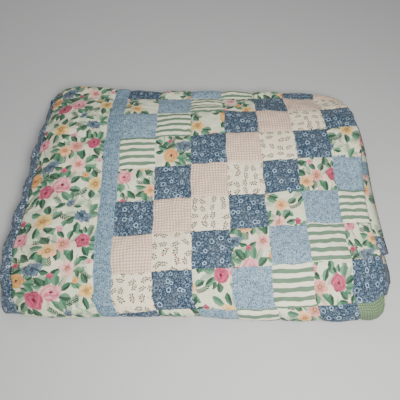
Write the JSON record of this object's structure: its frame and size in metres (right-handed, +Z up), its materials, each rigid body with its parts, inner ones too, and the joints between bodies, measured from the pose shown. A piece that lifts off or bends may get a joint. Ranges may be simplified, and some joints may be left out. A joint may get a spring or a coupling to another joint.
{
  "type": "folded patchwork quilt",
  "caption": "Quilted patchwork bed cover with a flowered border and a dark edge band, folded into a soft low rectangle.",
  "frame": {"origin": "under the middle of the folded quilt, on the surface it lies on", "axes": "+X towards the folded end on the right, -Y towards the front roll, +Z up"},
  "size_m": [0.9188, 0.6975, 0.1243],
  "materials": {
    "patchwork_cotton": "matte printed cotton",
    "navy_cotton": "matte printed cotton"
  },
  "bodies": {
    "root": {"quilt": "patchwork_cotton", "edge_band": "navy_cotton"}
  },
  "joints": []
}
